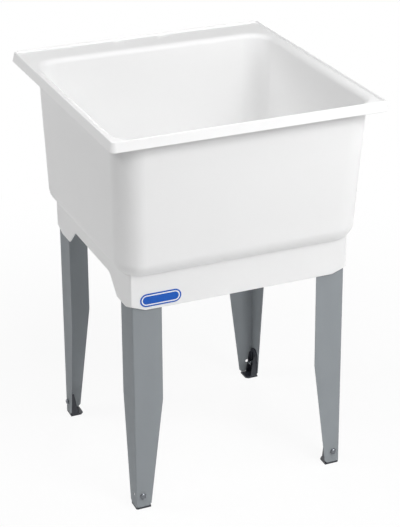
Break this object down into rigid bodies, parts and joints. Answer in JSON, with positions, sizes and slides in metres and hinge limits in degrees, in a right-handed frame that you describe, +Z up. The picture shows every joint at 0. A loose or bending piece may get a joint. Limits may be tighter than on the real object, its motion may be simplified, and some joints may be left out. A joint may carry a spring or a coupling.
{
  "type": "utility laundry sink",
  "caption": "Floor-standing laundry sink: deep moulded tub with a faucet ledge and skirt on four tapered steel angle legs with sliding levelling feet, drain strainer, stopper and tailpiece.",
  "frame": {"origin": "on the floor, under the middle of the rim", "axes": "+Z up, -Y towards the user, +Y towards the wall and the faucet ledge, +X to the user's right"},
  "size_m": [0.58, 0.614, 0.838],
  "materials": {
    "tub_plastic": "white moulded thermoplastic, satin gloss",
    "leg_steel": "grey baked enamel on sheet steel",
    "foot_plastic": "black moulded plastic",
    "zinc": "zinc plated",
    "stainless": "polished stainless steel",
    "rubber": "black rubber",
    "pipe_plastic": "white rigid pipe plastic",
    "label_film": "plain blue film with a white keyline, no words"
  },
  "bodies": {
    "sink": {"tub": "tub_plastic", "front_label": "label_film", "drain_strainer": "stainless", "tailpiece_washer": "rubber", "drain_tailpiece": "pipe_plastic", "slip_nut": "pipe_plastic", "leg_front_left": "leg_steel", "leg_front_right": "leg_steel", "leg_rear_left": "leg_steel", "leg_rear_right": "leg_steel", "foot_screw_front_left": "zinc", "foot_washer_front_left": "zinc", "foot_nut_front_left": "zinc", "foot_screw_front_right": "zinc", "foot_washer_front_right": "zinc", "foot_nut_front_right": "zinc", "foot_screw_rear_left": "zinc", "foot_washer_rear_left": "zinc", "foot_nut_rear_left": "zinc", "foot_screw_rear_right": "zinc", "foot_washer_rear_right": "zinc", "foot_nut_rear_right": "zinc"},
    "stopper": {"drain_stopper": "rubber", "stopper_ring": "stainless"},
    "front_left_foot": {"foot_front_left": "foot_plastic"},
    "front_right_foot": {"foot_front_right": "foot_plastic"},
    "rear_left_foot": {"foot_rear_left": "foot_plastic"},
    "rear_right_foot": {"foot_rear_right": "foot_plastic"}
  },
  "joints": [
    {"name": "front_left_foot_slide", "type": "slide", "parent": "sink", "child": "front_left_foot", "axis": [0, 0, -1], "range_m": [0, 0.025]},
    {"name": "front_right_foot_slide", "type": "slide", "parent": "sink", "child": "front_right_foot", "axis": [0, 0, -1], "range_m": [0, 0.025]},
    {"name": "rear_left_foot_slide", "type": "slide", "parent": "sink", "child": "rear_left_foot", "axis": [0, 0, -1], "range_m": [0, 0.025]},
    {"name": "rear_right_foot_slide", "type": "slide", "parent": "sink", "child": "rear_right_foot", "axis": [0, 0, -1], "range_m": [0, 0.025]},
    {"name": "stopper_lift", "type": "slide", "parent": "sink", "child": "stopper", "axis": [0, 0, 1], "range_m": [0, 0.1]}
  ]
}
